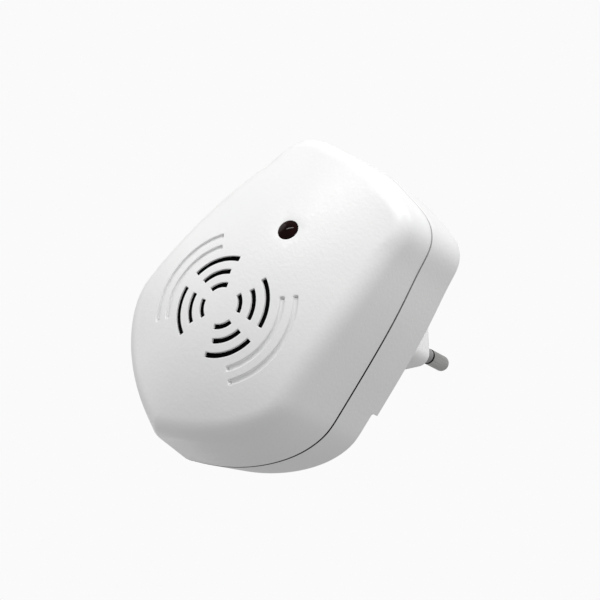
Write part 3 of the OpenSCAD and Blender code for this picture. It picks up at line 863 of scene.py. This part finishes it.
def band_shade(s, middle, dark, clear, low, high, fade):
    """Darkens a band round the Y middle: full as far as dark from it, gone at clear.

    low and high are the light left in it below and above the two heights of fade.
    """
    place = s.nodes.new("ShaderNodeSeparateXYZ")
    s.links.new(s.coords, place.inputs["Vector"])
    away = s.nodes.new("ShaderNodeMath")
    away.operation = "SUBTRACT"
    away.inputs[1].default_value = middle * MM
    s.links.new(place.outputs["Y"], away.inputs[0])
    size = s.nodes.new("ShaderNodeMath")
    size.operation = "ABSOLUTE"
    s.links.new(away.outputs["Value"], size.inputs[0])
    outside = s.ranged(size.outputs["Value"], 0.0, 1.0, dark * MM, clear * MM)
    floor = s.ranged(place.outputs["Z"], low, high, fade[0] * MM, fade[1] * MM)
    level = s.nodes.new("ShaderNodeMath")
    level.operation = "MAXIMUM"
    s.links.new(outside, level.inputs[0])
    s.links.new(floor, level.inputs[1])
    mix = s.nodes.new("ShaderNodeMix")
    mix.data_type = "RGBA"
    color = s.shader.inputs["Base Color"]
    mix.inputs[MIX_A].default_value = (0, 0, 0, 1)
    s.links.new(level.outputs["Value"], mix.inputs[MIX_FACTOR])
    s.links.new(color.links[0].from_socket, mix.inputs[MIX_B])
    s.links.new(mix.outputs[MIX_RESULT], color)


def moulded_white():
    s = Surface("moulded_white", (0.80, 0.80, 0.80), 0.42)
    broad = s.noise(45.0, 3.0)
    s.tint(broad, (0.785, 0.787, 0.787), (0.82, 0.82, 0.818))
    band_shade(s, SEAM_Y, SEAM_DARK, SEAM_CLEAR, SEAM_LOW, SEAM_HIGH, SEAM_FADE)
    s.roughness(s.noise(900.0, 2.0), 0.33, 0.46)
    s.bump(broad, 0.05, 0.25)
    s.bump(s.noise(1100.0, 2.0), 0.1, 0.5)
    s.bump(s.noise(2600.0, 3.0), 0.02, 0.5)
    s.set(Specular_IOR_Level=0.5)
    return s.material


def lamp_plastic():
    s = Surface("lamp_plastic", (0.008, 0.0008, 0.0008), 0.06)
    s.tint(s.noise(500.0), (0.004, 0.0004, 0.0004), (0.012, 0.001, 0.001))
    s.roughness(s.noise(1200.0), 0.04, 0.09)
    s.bump(s.noise(300.0), 0.004, 0.2)
    s.set(IOR=1.45, Specular_IOR_Level=0.1)
    return s.material


def plain_plastic(name, color, low, high, grain=1500.0, depth=0.01):
    s = Surface(name, color, (low + high) / 2)
    s.tint(s.noise(300.0), shade(color, 0.88), shade(color, 1.1))
    s.roughness(s.noise(700.0), low, high)
    s.bump(s.noise(grain, 3.0), depth, 0.6)
    return s.material


def drawn_metal(name, color, low, high, along, stepped=False):
    """Metal with fine marks; along is the noise's scale on each axis, small along the marks.

    stepped paints shade on the step at the end of a pin's sleeve, as a dark band in the metal's colour.
    """
    s = Surface(name, color, (low + high) / 2, 1.0)
    marks = s.noise(along, 3.0)
    s.tint(marks, shade(color, 0.82), shade(color, 1.08))
    s.roughness(s.noise(600.0), low, high)
    s.bump(marks, 0.004, 0.6)
    if stepped:
        # Painted shade: a dark band in the metal's colour where the sleeve ends on the bare pin
        left = PIN_STEP_LEFT
        band_shade(s, PIN_STEP_Y, PIN_STEP_DARK, PIN_STEP_CLEAR, left, left, SEAM_FADE)
    return s.material


# Black cloth whose colour is set far darker than real black cloth: painted shade, so the slots in front
# of it look as dark as deep shadow
def black_cloth_painted_shade():
    s = Surface("black_cloth_painted_shade", (0.0015, 0.0015, 0.0016), 0.9)
    fibres = s.noise(5000.0, 4.0)
    s.tint(fibres, (0.0008, 0.0008, 0.0009), (0.003, 0.003, 0.0033))
    s.bump(fibres, 0.04, 0.8)
    s.set(Specular_IOR_Level=0.04)
    return s.material


def board_laminate():
    s = Surface("board_laminate", (0.45, 0.33, 0.14), 0.5)
    fibres = s.noise((350.0, 350.0, 2400.0), 4.0)
    s.tint(fibres, (0.36, 0.25, 0.09), (0.52, 0.39, 0.18))
    s.roughness(s.noise(250.0), 0.4, 0.6)
    s.bump(fibres, 0.02, 0.4)
    return s.material


def wound_wire():
    s = Surface("wound_wire", (0.50, 0.22, 0.08), 0.3)
    wave = s.nodes.new("ShaderNodeTexWave")
    wave.bands_direction = "Y"
    wave.inputs["Scale"].default_value = 900.0
    wave.inputs["Distortion"].default_value = 0.6
    s.links.new(s.coords, wave.inputs["Vector"])
    s.tint(wave.outputs["Fac"], (0.28, 0.11, 0.04), (0.60, 0.28, 0.11), 0.2, 0.8)
    s.roughness(s.noise(500.0), 0.2, 0.4)
    s.bump(wave.outputs["Fac"], 0.1, 0.8)
    return s.material


def foam():
    s = Surface("foam", (0.05, 0.05, 0.05), 0.9)
    s.tint(s.cells(2500.0), (0.02, 0.02, 0.02), (0.08, 0.08, 0.08), 0.1, 0.6)
    s.bump(s.cells(2500.0), 0.1, 0.8)
    return s.material


STEEL_MARKS = (2500.0, 120.0, 2500.0)
MATERIALS = {
    "shell_white": moulded_white(),
    "lamp_red": lamp_plastic(),
    "mesh_black": black_cloth_painted_shade(),
    "pin_metal": drawn_metal("pin_nickel", (0.47, 0.47, 0.46), 0.22, 0.34, STEEL_MARKS, True),
    "sleeve_grey": plain_plastic("sleeve_grey", (0.27, 0.27, 0.27), 0.5, 0.62),
    "contact_brass": drawn_metal(
        "contact_brass", (0.72, 0.54, 0.26), 0.25, 0.4, (900.0, 900.0, 900.0)),
    "screw_steel": drawn_metal(
        "screw_steel", (0.56, 0.56, 0.56), 0.25, 0.42, (1500.0, 400.0, 1500.0)),
    "tinned_wire": drawn_metal("tinned_wire", (0.66, 0.66, 0.64), 0.25, 0.4, STEEL_MARKS),
    "wire_red": plain_plastic("wire_red", (0.45, 0.03, 0.03), 0.3, 0.42),
    "wire_blue": plain_plastic("wire_blue", (0.03, 0.10, 0.42), 0.3, 0.42),
    "wire_black": plain_plastic("wire_black", (0.02, 0.02, 0.02), 0.3, 0.42),
    "plastic_black": plain_plastic("plastic_black", (0.03, 0.03, 0.032), 0.4, 0.6),
    "cone_metal": drawn_metal("cone_metal", (0.66, 0.67, 0.68), 0.3, 0.45, (700.0, 700.0, 700.0)),
    "gasket_foam": foam(),
    "board_laminate": board_laminate(),
    "capacitor_red": plain_plastic("capacitor_red", (0.42, 0.09, 0.05), 0.16, 0.3, 250.0, 0.05),
    "capacitor_yellow": plain_plastic(
        "capacitor_yellow", (0.62, 0.50, 0.08), 0.2, 0.34, 250.0, 0.05),
    "capacitor_sleeve": plain_plastic(
        "capacitor_sleeve", (0.03, 0.04, 0.12), 0.22, 0.34, 400.0, 0.02),
    "capacitor_tan": plain_plastic("capacitor_tan", (0.55, 0.30, 0.12), 0.4, 0.6, 500.0, 0.05),
    "resistor_white": plain_plastic("resistor_white", (0.70, 0.70, 0.66), 0.6, 0.8, 1200.0, 0.04),
    "resistor_blue": plain_plastic("resistor_blue", (0.18, 0.36, 0.50), 0.28, 0.4),
    "resistor_beige": plain_plastic("resistor_beige", (0.66, 0.52, 0.32), 0.28, 0.4),
    "diode_black": plain_plastic("diode_black", (0.02, 0.02, 0.02), 0.45, 0.6),
    "diode_glass": plain_plastic("diode_glass", (0.55, 0.20, 0.08), 0.12, 0.2),
    "ferrite": plain_plastic("ferrite", (0.06, 0.06, 0.065), 0.5, 0.7, 900.0, 0.04),
    "enamelled_wire": wound_wire(),
}


def dress_frame():
    """Every CAD node gets its material from its slot in the record."""
    slots = {part["node"]: part["material_slot"] for part in frame["record"]["subparts"]}
    for name, obj in frame["nodes"].items():
        for place in obj.material_slots:
            place.material = MATERIALS[slots[name]]


def add(obj, slot, *nodes):
    """Gives a new piece the material of its slot and its body, and hides the nodes it stands for."""
    obj.data.materials.clear()
    obj.data.materials.append(MATERIALS[slot])
    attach(obj, ROOT)
    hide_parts(*nodes)


# ---- Light and camera ----
TARGET = Vector((11.3, -51.7, -2.2)) * MM
CAMERA_AZIMUTH = math.radians(35.98)
CAMERA_ELEVATION = math.radians(5.65)
CAMERA_ROLL = math.radians(35.64)
CAMERA_DISTANCE = 708 * MM
CAMERA_LENS = 180
SENSOR_WIDTH = 36
CLIP_END = 100


def direction(azimuth, elevation):
    """Unit vector towards a place seen at an azimuth from -Y towards +X, and an elevation."""
    flat = math.cos(elevation)
    return Vector((math.sin(azimuth) * flat, -math.cos(azimuth) * flat, math.sin(elevation)))


# Brightness of the backdrop, and of the world straight below and straight above the object
BACKDROP_WHITE = 0.956
BACKDROP_RADIUS = 20
AMBIENT_LOW = 0.369
AMBIENT_HIGH = 0.685
LIGHT_DISTANCE = 0.9
LIGHT_SIZE = 0.5
# Azimuth and elevation in degrees, and power in watts
LIGHTS = {
    "key": (-4.5, 70.8, 3.8),
    "back": (-168, 67.4, 1.5),
    "left": (-70, 7.5, 0.84),
    "low_left": (-68.5, -35.8, 0.97),
    "low_back": (-135.5, -45, 0.48),
}
# The same, with its length and height; it makes the dash on the lamp
STRIP = (-36, 31.8, 1.9, 0.42, 0.05)
STRIP_LEAN = math.radians(-14)


def camera_turn():
    """The camera's turned axes, as the columns of a matrix."""
    away = direction(CAMERA_AZIMUTH, CAMERA_ELEVATION)
    aimed = (-away).to_track_quat("-Z", "Y").to_matrix()
    return aimed @ Matrix.Rotation(CAMERA_ROLL, 3, "Z")


def set_camera():
    data = bpy.data.cameras.new("camera")
    data.lens = CAMERA_LENS
    data.sensor_width = SENSOR_WIDTH
    data.clip_end = CLIP_END
    camera = bpy.data.objects.new("camera", data)
    bpy.context.collection.objects.link(camera)
    camera.location = TARGET + direction(CAMERA_AZIMUTH, CAMERA_ELEVATION) * CAMERA_DISTANCE
    camera.rotation_euler = camera_turn().to_euler()
    bpy.context.scene.camera = camera


def soft_light(name, azimuth, elevation, power, size=LIGHT_SIZE, height=None):
    """A round light, or, if it has a height, a strip that leans by STRIP_LEAN in the picture."""
    data = bpy.data.lights.new(name, "AREA")
    data.shape = "RECTANGLE" if height else "DISK"
    data.size = size
    if height:
        data.size_y = height
    data.energy = power
    lamp = bpy.data.objects.new(name, data)
    bpy.context.collection.objects.link(lamp)
    away = direction(math.radians(azimuth), math.radians(elevation))
    lamp.location = TARGET + away * LIGHT_DISTANCE
    right = camera_turn().col[0]
    level = (right - away * right.dot(away)).normalized()
    across = level * math.cos(STRIP_LEAN) + away.cross(level) * math.sin(STRIP_LEAN)
    lamp.rotation_euler = Matrix((across, away.cross(across), away)).transposed().to_euler()
    lamp.visible_camera = False


def backdrop():
    """A pale seamless room far round the object, which only the camera sees."""
    work = bmesh.new()
    bmesh.ops.create_icosphere(work, subdivisions=4, radius=BACKDROP_RADIUS)
    data = bpy.data.meshes.new("backdrop")
    work.to_mesh(data)
    work.free()
    room = bpy.data.objects.new("backdrop", data)
    bpy.context.collection.objects.link(room)
    material = bpy.data.materials.new("backdrop")
    material.use_nodes = True
    nodes = material.node_tree.nodes
    nodes.remove(nodes["Principled BSDF"])
    glow = nodes.new("ShaderNodeEmission")
    glow.inputs["Color"].default_value = (BACKDROP_WHITE,) * 3 + (1,)
    material.node_tree.links.new(glow.outputs["Emission"], nodes["Material Output"].inputs["Surface"])
    data.materials.append(material)
    room.visible_diffuse = False
    room.visible_glossy = False
    room.visible_transmission = False
    room.visible_shadow = False


def set_light():
    """A world that brightens upwards, the lights and the backdrop."""
    world = bpy.data.worlds.new("world")
    world.use_nodes = True
    nodes = world.node_tree.nodes
    links = world.node_tree.links
    place = nodes.new("ShaderNodeSeparateXYZ")
    links.new(nodes.new("ShaderNodeTexCoord").outputs["Generated"], place.inputs["Vector"])
    level = nodes.new("ShaderNodeMapRange")
    level.inputs["From Min"].default_value = -1
    level.inputs["To Min"].default_value = AMBIENT_LOW
    level.inputs["To Max"].default_value = AMBIENT_HIGH
    links.new(place.outputs["Z"], level.inputs["Value"])
    links.new(level.outputs["Result"], nodes["Background"].inputs["Color"])
    bpy.context.scene.world = world
    for name, place in LIGHTS.items():
        soft_light(name, *place)
    soft_light("strip", *STRIP)
    bpy.context.scene.view_settings.view_transform = "Standard"
    backdrop()


dress_frame()
add(front_skin().piece("front_cover"), "shell_white", "front_shell")
add(front_posts().piece("front_cover_posts"), "shell_white", "front_shell")
add(rear_piece(), "shell_white", "rear_shell")
add(cloth_piece(), "mesh_black", "dust_mesh")
set_camera()
set_light()
